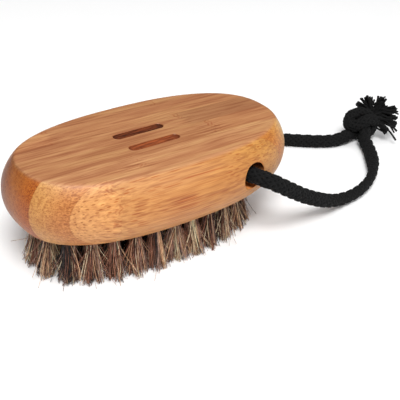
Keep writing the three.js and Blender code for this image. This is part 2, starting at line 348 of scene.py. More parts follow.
class Graph:
    """A material's node tree, with one short call for each kind of node."""

    def __init__(self, name):
        self.material = bpy.data.materials.new(name)
        self.material.use_nodes = True
        self.nodes = self.material.node_tree.nodes
        self.links = self.material.node_tree.links
        self.shader = self.nodes["Principled BSDF"]

    def put(self, socket, value):
        if isinstance(value, bpy.types.NodeSocket):
            self.links.new(value, socket)
        else:
            socket.default_value = value

    def math(self, operation, a, b=0.0, clamp=False):
        node = self.nodes.new("ShaderNodeMath")
        node.operation = operation
        node.use_clamp = clamp
        self.put(node.inputs[0], a)
        self.put(node.inputs[1], b)
        return node.outputs[0]

    def step(self, value, low, high):
        """0 below low and 1 above high, smooth between them. low may be above high."""
        node = self.nodes.new("ShaderNodeMapRange")
        node.interpolation_type = "SMOOTHSTEP"
        self.put(node.inputs["Value"], value)
        self.put(node.inputs["From Min"], low)
        self.put(node.inputs["From Max"], high)
        return node.outputs["Result"]

    def mix(self, share, a, b, blend="MIX"):
        node = self.nodes.new("ShaderNodeMix")
        node.data_type = "RGBA"
        node.blend_type = blend
        self.put(node.inputs["Factor"], share)
        self.put(node.inputs[6], a)
        self.put(node.inputs[7], b)
        return node.outputs[2]

    def tint(self, colour, share, tint):
        return self.mix(share, colour, self.mix(1.0, colour, tint, "MULTIPLY"))

    def combine(self, x, y, z):
        node = self.nodes.new("ShaderNodeCombineXYZ")
        for socket, value in zip(node.inputs, (x, y, z)):
            self.put(socket, value)
        return node.outputs[0]

    def noise(self, vector, scale, detail=2.0):
        node = self.nodes.new("ShaderNodeTexNoise")
        self.put(node.inputs["Vector"], vector)
        node.inputs["Scale"].default_value = scale
        node.inputs["Detail"].default_value = detail
        return node.outputs["Fac"]

    def cells(self, vector, scale, randomness):
        node = self.nodes.new("ShaderNodeTexVoronoi")
        node.voronoi_dimensions = "2D"
        self.put(node.inputs["Vector"], vector)
        node.inputs["Scale"].default_value = scale
        node.inputs["Randomness"].default_value = randomness
        return node.outputs["Distance"]

    def bump(self, height, strength, distance):
        node = self.nodes.new("ShaderNodeBump")
        node.inputs["Strength"].default_value = strength
        node.inputs["Distance"].default_value = distance
        self.put(node.inputs["Height"], height)
        self.links.new(node.outputs[0], self.shader.inputs["Normal"])

    def millimetres(self, turn=0.0):
        """The object's own coordinates in millimetres, turned about Z."""
        coordinates = self.nodes.new("ShaderNodeTexCoord")
        mapping = self.nodes.new("ShaderNodeMapping")
        mapping.inputs["Rotation"].default_value = (0, 0, turn)
        mapping.inputs["Scale"].default_value = (1 / MM, 1 / MM, 1 / MM)
        self.links.new(coordinates.outputs["Object"], mapping.inputs["Vector"])
        return mapping.outputs[0]

    def split(self, vector):
        node = self.nodes.new("ShaderNodeSeparateXYZ")
        self.links.new(vector, node.inputs[0])
        return node.outputs[0], node.outputs[1], node.outputs[2]


def linear(*levels):
    """A display colour of 0 to 255 levels as a linear colour."""
    values = []
    for level in levels:
        part = level / 255
        values.append(part / 12.92 if part <= 0.04045 else ((part + 0.055) / 1.055) ** 2.4)
    return (*values, 1)


# ---------------------------------------------------------------- bamboo

# Front to back: pale side colour, dense side colour, which side is dense (-1 front, 1 back), tone
# of the edge, where a growth node crosses the strip in millimetres, the tone before and beyond
# that, how far apart the fibre bundles lie in millimetres and how strongly they show.
STRIPS = [
    (linear(193, 138, 83), linear(186, 124, 64), -1, 1.10, -28.0, 1.16, 1.0, 1.1, 1.0),
    (linear(215, 166, 108), linear(194, 128, 70), -1, 1.06, -15.3, 1.0, 1.0, 0.8, 0.62),
    (linear(200, 130, 70), linear(192, 114, 51), -1, 0.97, 20.0, 0.98, 1.04, 0.75, 0.8),
    (linear(197, 128, 75), linear(188, 117, 65), 1, 0.98, 14.0, 1.0, 0.88, 0.85, 0.6),
    (linear(207, 139, 83), linear(196, 126, 75), 1, 1.0, -30.0, 1.09, 1.0, 0.85, 0.5),
    (linear(202, 134, 82), linear(193, 124, 76), 1, 1.0, 12.0, 1.0, 0.98, 0.8, 0.5),
]
EDGE_COLOUR = linear(174, 121, 81)
EDGE_SHARE = 0.88
# Tints towards the left end (end grain, darkened by painted shade), the back of the left end (painted
# shade) and the right end (painted grazing reflection and shade), and where the sides ripen along X in
# millimetres.
LEFT_END_GRAIN_AND_SHADE = (0.76, 0.60, 0.36, 1)
LEFT_BACK_PAINTED_SHADE = (0.58, 0.58, 0.62, 1)
RIGHT_END_PAINTED_SHEEN_AND_SHADE = (0.72, 0.90, 1.22, 1)
END_GRAIN_AND_PAINTED_LIGHT = {"left": LEFT_END_GRAIN_AND_SHADE, "left_back": LEFT_BACK_PAINTED_SHADE, "right": RIGHT_END_PAINTED_SHEEN_AND_SHADE}
RIPE_TINT = (0.92, 0.87, 0.60, 1)
RIPE_START = -14.0
RIPE_END = 22.0
# Fibre bundles: spacing and size in millimetres and share of the fine ones, then the coarse ones.
FINE_SPACING = 0.6
FINE_SIZE = 0.32
FINE_SHARE = 0.85
BUNDLE_SIZE = 0.13
BUNDLE_GROWTH = 0.06
BUNDLE_SCATTER = 0.55
BUNDLE_TINT = (0.74, 0.42, 0.18, 1)
BUNDLE_END_TINT = (0.50, 0.35, 0.22, 1)
WANDER_ALONG = 0.10
WANDER_ACROSS = 0.05
WANDER = 1.0
GRAIN_WAVE = 1.1
STREAK_TINT = (0.80, 0.70, 0.66, 1)
CREAM_TINT = (1.10, 1.16, 1.20, 1)
FIBRE_TINT = (0.88, 0.82, 0.78, 1)
BROAD_PALE_TINT = (1.07, 1.16, 1.14, 1)
BROAD_DARK_TINT = (0.88, 0.81, 0.80, 1)
# How much of the broad tones shows off the top and bottom, how far the cream noise is moved up in
# millimetres to differ from the streaks, and how much of the bundles shows between patches.
BROAD_LEAST = 0.2
CREAM_SHIFT = 40.0
PATCH_LEAST = 0.3
# Noises that run along the grain: how far each place counts along X, scale and detail.
GRAIN = {
    "patches": (0.3, 0.35, 2.0),
    "wave": (0.05, 1.0, 1.0),
    "fibres": (0.035, 3.2, 3.0),
    "streaks": (0.04, 1.2, 2.0),
    "cream": (0.07, 0.8, 2.0),
    "broad": (0.16, 0.26, 1.0),
    "flame": (0.1, 1.2, 2.0),
    "char": (0.12, 1.9, 3.0),
}
# Tints laid over the wood in turn: the noise, where its tint starts and where it is full, the tint.
GRAIN_TINTS = [
    ("broad", 0.50, 0.66, BROAD_PALE_TINT),
    ("broad", 0.46, 0.32, BROAD_DARK_TINT),
    ("streaks", 0.48, 0.62, STREAK_TINT),
    ("cream", 0.50, 0.62, CREAM_TINT),
    ("fibres", 0.44, 0.64, FIBRE_TINT),
]
NODE_TINT = (0.74, 0.50, 0.40, 1)
NODE_SHARE = 0.7
NODE_RAGGED = 7.0
NODE_RIPPLE = 1.4
NODE_REACH = 8.0
GLUE_TINT = (0.66, 0.52, 0.40, 1)
GLUE_SHARE = 0.4


def bamboo_material(index):
    """One strip: fibre bundles along X, close and dark at one glue face, sparse at the other."""
    pale, rich, dense_side, edge_tone, node_x, before, beyond, spacing, marked = STRIPS[index]
    g = Graph(f"bamboo_{index + 1}")
    turned = g.millimetres(-BOARD_TURN)
    x, y, z = g.split(turned)
    middle = (MIDDLE_GLUE_Y + (index - (LAMELLA_COUNT - 1) / 2) * LAMELLA_THICKNESS) / MM
    across = g.math("DIVIDE", g.math("SUBTRACT", y, middle), LAMELLA_THICKNESS / MM)
    dense = g.math("ADD", g.math("MULTIPLY", across, dense_side), 0.5, clamp=True)
    faces = face_shares(g)
    off_edge = g.math("SUBTRACT", 1.0, faces["edge"])
    marks = g.math("MULTIPLY", bundle_marks(g, x, y, z, dense, spacing), off_edge)
    layers = grain_layers(g, x, y, z)
    patches = g.math("MULTIPLY", g.step(layers["patches"], 0.36, 0.62), 1 - PATCH_LEAST)
    patches = g.math("MAXIMUM", g.math("ADD", PATCH_LEAST, patches), faces["cut"])

    colour = g.mix(g.step(dense, 0.1, 0.95), pale, rich)
    colour = edge_and_ripe(g, colour, x, faces, edge_tone)
    colour = grain_tints(g, colour, layers, faces["edge"])
    # End grain at both ends, with painted shade on the left end and its back, and a painted grazing
    # reflection with shade on the right end.
    for end, tint in END_GRAIN_AND_PAINTED_LIGHT.items():
        colour = g.tint(colour, faces[end], tint)
    bundle = g.mix(faces["cut"], BUNDLE_TINT, BUNDLE_END_TINT)
    colour = g.tint(colour, g.math("MULTIPLY", marks, g.math("MULTIPLY", patches, marked)), bundle)
    colour = growth_node(g, colour, turned, x, y, z, node_x, before, beyond)
    to_glue = g.math("SUBTRACT", 0.5, g.math("ABSOLUTE", across))
    colour = g.tint(colour, g.math("MULTIPLY", g.step(to_glue, 0.014, 0.003), GLUE_SHARE), GLUE_TINT)
    if index in GROOVED_STRIPS:
        colour = scorched_rim(g, colour, GROOVED_STRIPS[index])

    g.put(g.shader.inputs["Base Color"], colour)
    g.put(g.shader.inputs["Roughness"], g.math("ADD", 0.36, g.math("MULTIPLY", layers["fibres"], 0.16)))
    g.shader.inputs["Specular IOR Level"].default_value = 0.42
    g.bump(g.math("SUBTRACT", g.math("MULTIPLY", layers["fibres"], 0.5), marks), 0.25, 0.00006)
    return g.material


def edge_and_ripe(g, colour, x, faces, edge_tone):
    """One even tone on the top and bottom, and a riper one along the sides towards the right."""
    edge_colour = g.mix(1.0, EDGE_COLOUR, (edge_tone, edge_tone, edge_tone, 1), "MULTIPLY")
    colour = g.mix(g.math("MULTIPLY", faces["edge"], EDGE_SHARE), colour, edge_colour)
    off_edge = g.math("SUBTRACT", 1.0, faces["edge"])
    ripe = g.math("MULTIPLY", g.step(x, RIPE_START, RIPE_END), off_edge)
    return g.tint(colour, g.math("MULTIPLY", ripe, g.math("SUBTRACT", 1.0, faces["right"])), RIPE_TINT)


def grain(g, name, x, y, z):
    """One of the noises that run along the grain."""
    along, scale, detail = GRAIN[name]
    return g.noise(g.combine(g.math("MULTIPLY", x, along), y, z), scale, detail)


def grain_layers(g, x, y, z):
    """The noises of the wood, most of them in grain that wanders a little as it runs."""
    wave = grain(g, "wave", x, g.math("MULTIPLY", y, 0.18), z)
    wavy = g.math("ADD", y, g.math("MULTIPLY", wave, GRAIN_WAVE))
    layers = {name: grain(g, name, x, wavy, z) for name in ("fibres", "streaks", "broad")}
    layers["cream"] = grain(g, "cream", x, wavy, g.math("ADD", z, CREAM_SHIFT))
    layers["patches"] = grain(g, "patches", x, y, z)
    return layers


def grain_tints(g, colour, layers, edge):
    """The wood with every grain tint on it. The broad ones show most on the top and bottom."""
    broadly = g.math("ADD", BROAD_LEAST, g.math("MULTIPLY", edge, 1 - BROAD_LEAST))
    for name, low, high, tint in GRAIN_TINTS:
        share = g.step(layers[name], low, high)
        if name == "broad":
            share = g.math("MULTIPLY", broadly, share)
        colour = g.tint(colour, share, tint)
    return colour


def face_shares(g):
    """How far the surface faces up or down, left, left and back, or right, or is cut across at all."""
    geometry = g.nodes.new("ShaderNodeNewGeometry")
    along, back, up = g.split(geometry.outputs["Normal"])
    return {
        "edge": g.step(g.math("ABSOLUTE", up), 0.6, 0.95),
        "left": g.step(along, -0.35, -1.0),
        # Faces turned left and back, where the painted shade goes.
        "left_back": g.math("MULTIPLY", g.step(along, -0.2, -0.6), g.step(back, -0.3, 0.3)),
        "right": g.step(along, 0.35, 1.0),
        "cut": g.step(g.math("ABSOLUTE", along), 0.2, 0.5),
    }


def bundle_marks(g, x, y, z, dense, spacing):
    """Fibre bundles: coarse ones everywhere, and fine close ones near the dense glue face.

    They wander slowly along the strip, so a face along them shows dashes and an end shows dots.
    """
    place = g.combine(
        g.math("MULTIPLY", x, WANDER_ALONG),
        g.math("MULTIPLY", y, WANDER_ACROSS),
        g.math("MULTIPLY", z, WANDER_ACROSS),
    )
    shift = g.math("MULTIPLY", g.math("SUBTRACT", g.noise(place, 1.0, 0.0), 0.5), WANDER)
    across = g.combine(g.math("ADD", y, shift), g.math("SUBTRACT", z, shift), 0.0)
    size = g.math("ADD", BUNDLE_SIZE, g.math("MULTIPLY", dense, BUNDLE_GROWTH))
    coarse = g.step(g.math("SUBTRACT", g.cells(across, 1 / spacing, BUNDLE_SCATTER), size), 0.06, -0.06)
    size = g.math("MULTIPLY", dense, FINE_SIZE)
    fine = g.step(g.math("SUBTRACT", g.cells(across, 1 / FINE_SPACING, 1.0), size), 0.08, -0.06)
    fine = g.math("MULTIPLY", fine, g.step(dense, 0.5, 0.95))
    return g.math("MAXIMUM", coarse, g.math("MULTIPLY", fine, FINE_SHARE))


def growth_node(g, colour, turned, x, y, z, node_x, before, beyond):
    """Two ragged ripples across the strip in disturbed grain, with another tone beyond them."""
    ragged = g.math("SUBTRACT", g.noise(g.combine(0.0, y, z), 0.4, 2.0), 0.5)
    from_node = g.math("ADD", g.math("SUBTRACT", x, node_x), g.math("MULTIPLY", ragged, NODE_RAGGED))
    away = g.math("ABSOLUTE", from_node)
    tone = g.mix(g.step(from_node, -1.0, 2.5), (before, before, before, 1), (beyond, beyond, beyond, 1))
    colour = g.mix(1.0, colour, tone, "MULTIPLY")
    flame = grain(g, "flame", x, y, z)
    near = g.step(away, NODE_REACH, 1.0)
    colour = g.tint(colour, g.math("MULTIPLY", near, g.step(flame, 0.50, 0.60)), CREAM_TINT)
    colour = g.tint(colour, g.math("MULTIPLY", near, g.step(flame, 0.44, 0.36)), STREAK_TINT)
    first = g.step(away, 0.5, 0.15)
    second = g.step(g.math("ABSOLUTE", g.math("SUBTRACT", from_node, NODE_RIPPLE)), 0.4, 0.1)
    broken = g.step(g.noise(turned, 0.32), 0.46, 0.56)
    ripples = g.math("MULTIPLY", g.math("MAXIMUM", first, second), broken)
    return g.tint(colour, g.math("MULTIPLY", ripples, NODE_SHARE), NODE_TINT)


# Which strips carry a groove, and on which side of the pair's centre it lies.
GROOVED_STRIPS = {2: -1, 3: 1}
# The scorched rim round each groove, then the bore's wall: its painted shade, its wood low in the mouth
# and the paler wood at its very mouth.
RIM_COLOUR = linear(128, 70, 40)
RIM_SHARE = 0.7
BORE_PAINTED_SHADE = linear(34, 20, 13)
BORE_RAW = linear(236, 148, 80)
BORE_RIM = 0.4
BORE_RIM_SHARE = 0.6


def scorched_rim(g, colour, side):
    """A brown halo on the top face round a burnt groove."""
    flat = g.millimetres()
    x, y, z = g.split(flat)
    along = g.math("ABSOLUTE", g.math("SUBTRACT", x, GROOVE_CENTRE[0] / MM))
    over = g.math("MAXIMUM", g.math("SUBTRACT", along, GROOVE_HALF / MM), 0.0)
    across = g.math("SUBTRACT", y, (GROOVE_CENTRE[1] + side * GROOVE_PITCH / 2) / MM)
    squares = g.math("ADD", g.math("MULTIPLY", over, over), g.math("MULTIPLY", across, across))
    reach = g.math("SQRT", squares)
    mottled = g.math("ADD", reach, g.math("MULTIPLY", g.noise(flat, 1.2), 0.3))
    rim = g.step(mottled, (GROOVE_RADIUS + 2 * GROOVE_SOFT) / MM, GROOVE_RADIUS / MM)
    near_top = g.step(z, (BLOCK_TOP - GROOVE_DEPTH) / MM, (BLOCK_TOP - GROOVE_DEPTH / 2) / MM)
    return g.mix(g.math("MULTIPLY", g.math("MULTIPLY", rim, near_top), RIM_SHARE), colour, RIM_COLOUR)


def burnt_material(name, pale, dark):
    """Charred wood: matt, streaked along the groove and darker at both ends, where the tool dwelt."""
    g = Graph(name)
    x, y, z = g.split(g.millimetres())
    char = grain(g, "char", x, y, z)
    along = g.math("ABSOLUTE", g.math("SUBTRACT", x, GROOVE_CENTRE[0] / MM))
    ends = g.step(along, (GROOVE_HALF - GROOVE_RADIUS / 2) / MM, (GROOVE_HALF + GROOVE_RADIUS / 2) / MM)
    burnt = g.math("MAXIMUM", g.step(char, 0.35, 0.68), g.math("MULTIPLY", ends, 0.8))
    g.put(g.shader.inputs["Base Color"], g.mix(burnt, pale, dark))
    g.put(g.shader.inputs["Roughness"], g.math("ADD", 0.7, g.math("MULTIPLY", char, 0.3)))
    g.shader.inputs["Specular IOR Level"].default_value = 0.12
    g.bump(char, 0.3, 0.0001)
    return g.material


def bore_material():
    """Raw wood low in the mouth and round its rim, with painted shade further in and above, where the
    wall lies in shadow.
    """
    g = Graph("bored_bamboo")
    x, y, z = g.split(g.millimetres())
    rings = g.noise(g.combine(x, g.math("MULTIPLY", y, 3.0), z), 0.8, 3.0)
    depth = g.math("SUBTRACT", depth_under_side(g, x, y, z), rings)
    # Painted shade: the wall darkens with depth into the bore and above its axis, where it lies in
    # shadow.
    lit_wood = g.step(depth, BORE_SHADE_DEPTH / MM, BORE_SHADE_DEPTH / MM / 2)
    lit_wood = g.math("MULTIPLY", lit_wood, g.step(z, BORE_Z / MM + 3.0, BORE_Z / MM - 2.0))
    rim = g.math("MULTIPLY", g.step(depth, BORE_RIM, -BORE_RIM), BORE_RIM_SHARE)
    colour = g.mix(g.math("MAXIMUM", lit_wood, rim), BORE_PAINTED_SHADE, BORE_RAW)
    g.put(g.shader.inputs["Base Color"], colour)
    g.put(g.shader.inputs["Roughness"], g.math("ADD", 0.7, g.math("MULTIPLY", rings, 0.2)))
    g.shader.inputs["Specular IOR Level"].default_value = 0.15
    g.bump(rings, 0.3, 0.0001)
    return g.material


def depth_under_side(g, x, y, z):
    """How far a point lies in along Y from the barrel side, in millimetres."""
    along = g.math("POWER", g.math("ABSOLUTE", g.math("DIVIDE", x, BLOCK_LENGTH / 2 / MM)), PLAN_EXPONENT)
    plan = g.math("POWER", g.math("SUBTRACT", 1.0, along), 1 / PLAN_EXPONENT)
    half_thickness = (BLOCK_TOP - BLOCK_BOTTOM) / 2 / MM
    middle_z = (BLOCK_TOP + BLOCK_BOTTOM) / 2 / MM
    off_middle = g.math("DIVIDE", g.math("SUBTRACT", z, middle_z), half_thickness)
    bulge = g.math("POWER", g.math("ABSOLUTE", off_middle), BARREL_EXPONENT)
    widest = g.math("MULTIPLY", plan, BLOCK_WIDTH / 2 / MM)
    side = g.math("SUBTRACT", widest, g.math("MULTIPLY", bulge, TOP_INSET / MM))
    return g.math("SUBTRACT", side, g.math("ABSOLUTE", y))


# ---------------------------------------------------------------- block

def ring_points(half_length, half_width, z, sides):
    angles = np.linspace(0, 2 * math.pi, sides, endpoint=False)
    power = 2 / PLAN_EXPONENT
    x = half_length * np.sign(np.cos(angles)) * np.abs(np.cos(angles)) ** power
    y = half_width * np.sign(np.sin(angles)) * np.abs(np.sin(angles)) ** power
    return np.column_stack([x, y, np.full(sides, z)])


def side_inset(height):
    from_middle = 2 * height - 1
    inset = TOP_INSET if from_middle > 0 else BOTTOM_INSET
    return inset * abs(from_middle) ** BARREL_EXPONENT


def block_profile():
    """(inset, z) up the side, with both arrises eased."""
    thickness = BLOCK_TOP - BLOCK_BOTTOM
    ease = ARRIS / thickness
    heights = np.linspace(ease, 1 - ease, BLOCK_LEVELS)
    side = [(side_inset(h), BLOCK_BOTTOM + h * thickness) for h in heights]
    bottom = eased_arris((BOTTOM_INSET + ARRIS, BLOCK_BOTTOM), (BOTTOM_INSET, BLOCK_BOTTOM), side[0])
    top = eased_arris(side[-1], (TOP_INSET, BLOCK_TOP), (TOP_INSET + ARRIS, BLOCK_TOP))
    return bottom[:-1] + side + top[1:]


def eased_arris(start, corner, end):
    points = []
    for t in np.linspace(0, 1, ARRIS_STEPS + 1):
        weights = ((1 - t) ** 2, 2 * t * (1 - t), t * t)
        inset, z = np.dot(weights, (start, corner, end))
        points.append((inset, z))
    return points


def whole_block():
    rings = [
        ring_points(BLOCK_LENGTH / 2 - inset, BLOCK_WIDTH / 2 - inset, z, BLOCK_SIDES)
        for inset, z in block_profile()
    ]
    return mesh_object("block", np.concatenate(rings), tube_faces(len(rings), BLOCK_SIDES))


def half_width_at(x):
    along = abs(2 * x / BLOCK_LENGTH) ** PLAN_EXPONENT
    return BLOCK_WIDTH / 2 * (1 - along) ** (1 / PLAN_EXPONENT)


def bore_cutter():
    """A drill along Y whose radius opens at both mouths."""
    mouth = half_width_at(BORE_X)
    offsets = np.linspace(-4 * BORE_LIP, 3 * BORE_LIP, BORE_LIP_STEPS)
    opening = BORE_LIP * np.clip((offsets + 2 * BORE_LIP) / (2 * BORE_LIP), 0, 1) ** 2
    along = np.r_[-(mouth + offsets[::-1]), mouth + offsets]
    radii = BORE_RADIUS + np.r_[opening[::-1], opening]
    path = np.column_stack([np.full(len(along), BORE_X), along, np.full(len(along), BORE_Z)])
    return tube(path, radii, BORE_SIDES)


def groove_cutter(side):
    """A round-ended slot whose upper edge is softened."""
    half_turn = np.linspace(-math.pi / 2, math.pi / 2, GROOVE_CAP_STEPS)
    rings = []
    for grow, z in (
        (-GROOVE_SOFT, BLOCK_TOP - GROOVE_DEPTH),
        (0, BLOCK_TOP - GROOVE_DEPTH + GROOVE_SOFT),
        (0, BLOCK_TOP - GROOVE_SOFT / 2),
        (GROOVE_SOFT / 2, BLOCK_TOP),
        (2 * GROOVE_SOFT, BLOCK_TOP + GROOVE_DEPTH),
    ):
        radius = GROOVE_RADIUS + grow
        right = np.column_stack([GROOVE_HALF + radius * np.cos(half_turn), radius * np.sin(half_turn)])
        outline = np.concatenate([right, -right])
        outline += (GROOVE_CENTRE[0], GROOVE_CENTRE[1] + side * GROOVE_PITCH / 2)
        rings.append(np.column_stack([outline, np.full(len(outline), z)]))
    return np.concatenate(rings), tube_faces(len(rings), 2 * GROOVE_CAP_STEPS)


def hole_cutter(centre):
    depths = np.array((-HOLE_DEPTH, 0.0, HOLE_DEPTH * HOLE_STRAIGHT, HOLE_DEPTH))
    path = np.column_stack([np.full(4, centre.x), np.full(4, centre.y), BLOCK_BOTTOM + depths])
    return tube(path, np.array((1, 1, 1, HOLE_TIP)) * HOLE_RADIUS, HOLE_SIDES)


def cutter_object(tufts):
    shapes = [bore_cutter(), groove_cutter(-1), groove_cutter(1)]
    shapes += [hole_cutter(tuft["root"]) for tuft in tufts]
    cutter = mesh_object("cutter", *gather(shapes))
    face_outwards(cutter)
    return cutter


def face_outwards(piece):
    work = bmesh.new()
    work.from_mesh(piece.data)
    bmesh.ops.recalc_face_normals(work, faces=work.faces)
    work.to_mesh(piece.data)
    work.free()


def cut(piece, tool, operation):
    modifier = piece.modifiers.new("cut", "BOOLEAN")
    modifier.operation = operation
    modifier.object = tool
    modifier.solver = "MANIFOLD"
    graph = bpy.context.evaluated_depsgraph_get()
    mesh = bpy.data.meshes.new_from_object(piece.evaluated_get(graph))
    piece.modifiers.clear()
    piece.data = mesh


def slab_object(index):
    half = LAMELLA_COUNT / 2
    front = MIDDLE_GLUE_Y + (index - half) * LAMELLA_THICKNESS
    back = front + LAMELLA_THICKNESS
    if index == 0:
        front = -BLOCK_WIDTH
    if index == LAMELLA_COUNT - 1:
        back = BLOCK_WIDTH
    corners = [
        (x, y, z)
        for x in (-BLOCK_LENGTH, BLOCK_LENGTH)
        for y in (front, back)
        for z in (0, 2 * BLOCK_TOP)
    ]
    faces = [(0, 1, 3, 2), (4, 6, 7, 5), (0, 4, 5, 1), (2, 3, 7, 6), (0, 2, 6, 4), (1, 5, 7, 3)]
    slab = mesh_object("slab", corners, faces)
    slab.data.transform(Matrix.Rotation(BOARD_TURN, 4, "Z"))
    face_outwards(slab)
    return slab


def add_block(tufts):
    block = whole_block()
    face_outwards(block)
    cutter = cutter_object(tufts)
    cut(block, cutter, "DIFFERENCE")
    inside = [
        bore_material(),
        burnt_material("burnt_front", linear(150, 78, 42), linear(100, 48, 27)),
        burnt_material("burnt_back", linear(112, 54, 28), linear(62, 29, 17)),
    ]
    for index, slot in enumerate(LAMELLA_SLOTS):
        strip = bpy.data.objects.new(f"strip_{index + 1}", block.data.copy())
        scene.collection.objects.link(strip)
        slab = slab_object(index)
        cut(strip, slab, "INTERSECT")
        bpy.data.objects.remove(slab)
        strip.data.materials.clear()
        for material in [bamboo_material(index), *inside]:
            strip.data.materials.append(material)
        finish_insides(strip)
        shade(strip)
        keep_piece(strip, slot, f"lamella_{index + 1}")
    bpy.data.objects.remove(cutter)
    bpy.data.objects.remove(block)


def finish_insides(strip):
    """The bore's wall takes the second finish and the two grooves the third and fourth."""
    for polygon in strip.data.polygons:
        x, y, z = polygon.center
        polygon.material_index = 0
        if math.hypot(x - BORE_X, z - BORE_Z) < BORE_RADIUS + BORE_LIP / 4:
            polygon.material_index = 1
        elif BLOCK_TOP - 2 * GROOVE_DEPTH < z < BLOCK_TOP - GROOVE_SOFT / 4:
            over = max(abs(x - GROOVE_CENTRE[0]) - GROOVE_HALF, 0)
            for side, finish in ((-1, 2), (1, 3)):
                across = y - GROOVE_CENTRE[1] - side * GROOVE_PITCH / 2
                if math.hypot(over, across) < GROOVE_RADIUS + GROOVE_SOFT:
                    polygon.material_index = finish


# ---------------------------------------------------------------- bristles

BLACK_HAIR = linear(34, 23, 19)
BROWN_HAIR = linear(104, 64, 50)
GREY_HAIR = linear(178, 144, 128)
# Share of the hairs and colour, as mixed natural hair, and how much the shares vary by tuft.
HAIR_COLOURS = [
    (0.22, BLACK_HAIR),
    (0.19, BROWN_HAIR),
    (0.20, linear(158, 106, 82)),
    (0.14, GREY_HAIR),
    (0.15, linear(224, 180, 140)),
    (0.10, linear(252, 228, 190)),
]
MIX_VARIES = (0.7, 1.35)
HAIR_SHADE_TINT = (0.62, 0.56, 0.52, 1)
LOCKS_PER_TUFT = 9
LOCK_PULL = 0.6
LOCK_COLOUR_SHARE = 0.42
CROSSING_SHARE = 0.06
CROSSING_REACH = 0.0085
# Single hairs that stray far from their tuft: where each tip ends in millimetres, and its colour.
STRAYS = {
    "tuft_outer_14": [((-50.0, 1.5, 11.4), GREY_HAIR), ((-45.5, -6.0, 4.0), BLACK_HAIR)],
    "tuft_outer_15": [((-42.6, -16.4, 0.6), BROWN_HAIR)],
    "tuft_outer_23": [((17.0, -25.5, 1.2), GREY_HAIR)],
    "tuft_outer_25": [((33.0, -16.5, 3.0), BLACK_HAIR)],
}


def read_tufts():
    """Where each tuft is held and where its tips end, from its CAD solid."""
    tufts = []
    for name in sorted(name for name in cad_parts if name.startswith("tuft_")):
        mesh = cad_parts[name].data
        points = np.array([vertex.co for vertex in mesh.vertices])
        heights = points[:, 2]
        root = points[heights > heights.max() - END_TOLERANCE].mean(axis=0)
        tip = points[heights < heights.min() + END_TOLERANCE].mean(axis=0)
        tufts.append({"name": name, "root": Vector(root), "tip": Vector(tip)})
    return tufts


def hair_material():
    g = Graph("bristle_hair")
    attribute = g.nodes.new("ShaderNodeAttribute")
    attribute.attribute_name = "hair_colour"
    x, y, z = g.split(g.millimetres())
    along = g.noise(g.combine(x, y, g.math("MULTIPLY", z, 0.15)), 1.5, 3.0)
    colour = g.tint(attribute.outputs["Color"], g.step(along, 0.42, 0.62), HAIR_SHADE_TINT)
    g.put(g.shader.inputs["Base Color"], colour)
    g.put(g.shader.inputs["Roughness"], g.math("ADD", 0.34, g.math("MULTIPLY", along, 0.3)))
    g.bump(along, 0.1, 0.00003)
    return g.material


def add_tuft(tuft, others, material):
    """A bundle of loose hairs whose tips draw together in locks, each mostly of one colour."""
    shares = np.array([share for share, _ in HAIR_COLOURS])
    shares = shares * random.uniform(*MIX_VARIES, len(shares))
    shares /= shares.sum()
    root = np.array(tuft["root"])
    tip = np.array(tuft["tip"])
    locks = random.uniform(-1, 1, (LOCKS_PER_TUFT, 2)) * TIP_SPREAD
    lock_colours = random.choice(len(shares), LOCKS_PER_TUFT, p=shares)
    near_tips = [
        np.array(other["tip"]) for other in others
        if 0 < (other["tip"] - tuft["tip"]).length < CROSSING_REACH
    ]
    hairs = []
    colours = []
    for _ in range(HAIRS_PER_TUFT):
        heads_for = tip
        if random.uniform() < CROSSING_SHARE:
            heads_for = near_tips[random.integers(len(near_tips))]
        path, lock = hair_path(root, heads_for, locks)
        hairs.append(hair(path, random.uniform(*HAIR_VARIES)))
        choice = random.choice(len(shares), p=shares)
        if random.uniform() < LOCK_COLOUR_SHARE:
            choice = lock_colours[lock]
        colour = np.array(HAIR_COLOURS[choice][1])
        colour[:3] *= random.uniform(*HAIR_VARIES)
        colours.append(colour)
    for end, colour in STRAYS.get(tuft["name"], []):
        hairs.append(hair(hair_curve(root, np.array(end) * MM, 0.0), 1.0))
        colours.append(colour)
    piece = mesh_object(f"hair_{tuft['name']}", *gather(hairs), material)
    layer = piece.data.attributes.new("hair_colour", "FLOAT_COLOR", "POINT")
    levels = np.clip(np.repeat(colours, HAIR_RINGS * HAIR_SIDES, axis=0), 0, 1)
    layer.data.foreach_set("color", levels.ravel().astype(np.float32))
    shade(piece, ALL_SMOOTH)
    keep_piece(piece, "bristle", tuft["name"])


def hair(path, width):
    return tube(path, HAIR_RADIUS * width * np.linspace(1.0, HAIR_THINS_TO, HAIR_RINGS), HAIR_SIDES)


def hair_path(root, tip, locks):
    """One hair from its place in the hole to a tip that leans towards the nearest lock."""
    angle = random.uniform(0, 2 * math.pi)
    share = math.sqrt(random.uniform(0, 1))
    outward = np.array((math.cos(angle), math.sin(angle)))
    start = root + np.r_[outward * share * ROOT_SPREAD, 0.0]
    splayed = outward * share * TIP_SPREAD
    lock = int(np.argmin(np.linalg.norm(locks - splayed, axis=1)))
    scatter = WILD_SCATTER if random.uniform() < WILD_SHARE else TIP_SCATTER
    splayed += (locks[lock] - splayed) * LOCK_PULL + random.normal(0, scatter, 2)
    end = tip + np.r_[splayed, 0.0]
    end[2] = TRIM_RAGGED * random.uniform(TRIM_LEAST, 1.0) ** TRIM_POWER + HAIR_RADIUS
    bow = np.r_[random.normal(0, scatter / 2, 2), 0.0]
    return hair_curve(start, end, bow), lock


